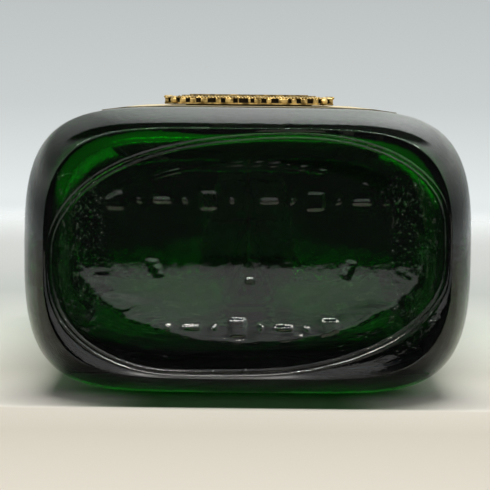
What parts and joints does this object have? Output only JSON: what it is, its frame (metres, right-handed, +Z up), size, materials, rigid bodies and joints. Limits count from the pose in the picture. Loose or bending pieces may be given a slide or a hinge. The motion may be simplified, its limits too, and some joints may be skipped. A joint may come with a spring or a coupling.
{
  "type": "ship in a bottle",
  "caption": "Three-masted ship on a putty sea inside a green glass flask bottle lying on its side, with a paper label, a gilt badge and a cork stopper that pulls out.",
  "frame": {"origin": "under the middle of the whole object, on the surface it lies on", "axes": "+Y along the bottle from its base to its stopper, +Z up through the label and badge, +X across the bottle"},
  "size_m": [0.1, 0.246, 0.0669],
  "materials": {
    "bottle_glass": "deep green pressed glass, glossy, nearly black where it is thick",
    "label_paper": "cream laid paper with a gilt border, blank",
    "badge_glue": "dried clear glue",
    "gilt": "cast and gilt, worn pale on its high edges, dark in its recesses",
    "cork": "natural cork with small dark pores",
    "stained_wood": "turned and stained dark, satin varnish",
    "sea_putty": "painted putty, glossy, blue-green with white crests",
    "hull_paint": "carved and painted black",
    "pale_deck": "bare pale wood with scribed planks",
    "white_paint": "painted off-white",
    "hinge_wire": "bent brass wire",
    "spar_wood": "varnished split bamboo",
    "sailcloth": "stiff cream paper with ruled seams",
    "rig_thread": "waxed dark thread",
    "flag_paper": "painted red and white in plain bands"
  },
  "bodies": {
    "bottle": {"bottle": "bottle_glass", "front_label": "label_paper", "badge_glue": "badge_glue", "badge_plate": "gilt", "badge_rose": "gilt", "sea": "sea_putty", "hull": "hull_paint", "deck": "pale_deck", "bulwarks": "white_paint", "channels": "spar_wood", "rudder": "hull_paint", "forecastle": "pale_deck", "poop": "pale_deck", "deckhouse": "white_paint", "deckhouse_roof": "spar_wood", "hatch_covers": "spar_wood", "helm": "spar_wood", "lifeboats": "white_paint", "bowsprit": "spar_wood", "jib_boom": "spar_wood", "mizzen_mast": "spar_wood", "main_mast": "spar_wood", "fore_mast": "spar_wood", "mast_hinge_pins": "hinge_wire", "mast_tops": "spar_wood", "mizzen_lower_yard": "spar_wood", "mizzen_topsail_yard": "spar_wood", "mizzen_topgallant_yard": "spar_wood", "main_lower_yard": "spar_wood", "main_topsail_yard": "spar_wood", "main_topgallant_yard": "spar_wood", "fore_lower_yard": "spar_wood", "fore_topsail_yard": "spar_wood", "fore_topgallant_yard": "spar_wood", "gaff": "spar_wood", "spanker_boom": "spar_wood", "fore_course": "sailcloth", "fore_topsail": "sailcloth", "fore_topgallant": "sailcloth", "main_course": "sailcloth", "main_topsail": "sailcloth", "main_topgallant": "sailcloth", "mizzen_topsail": "sailcloth", "mizzen_topgallant": "sailcloth", "spanker": "sailcloth", "inner_jib": "sailcloth", "outer_jib": "sailcloth", "flying_jib": "sailcloth", "stays": "rig_thread", "shrouds": "rig_thread", "backstays": "rig_thread", "bobstays": "rig_thread", "ensign": "flag_paper"},
    "stopper": {"stopper_cork": "cork", "stopper_head": "stained_wood"}
  },
  "joints": [
    {"name": "stopper_pull", "type": "slide", "parent": "bottle", "child": "stopper", "axis": [0, 1, 0], "range_m": [0, 0.03]}
  ]
}
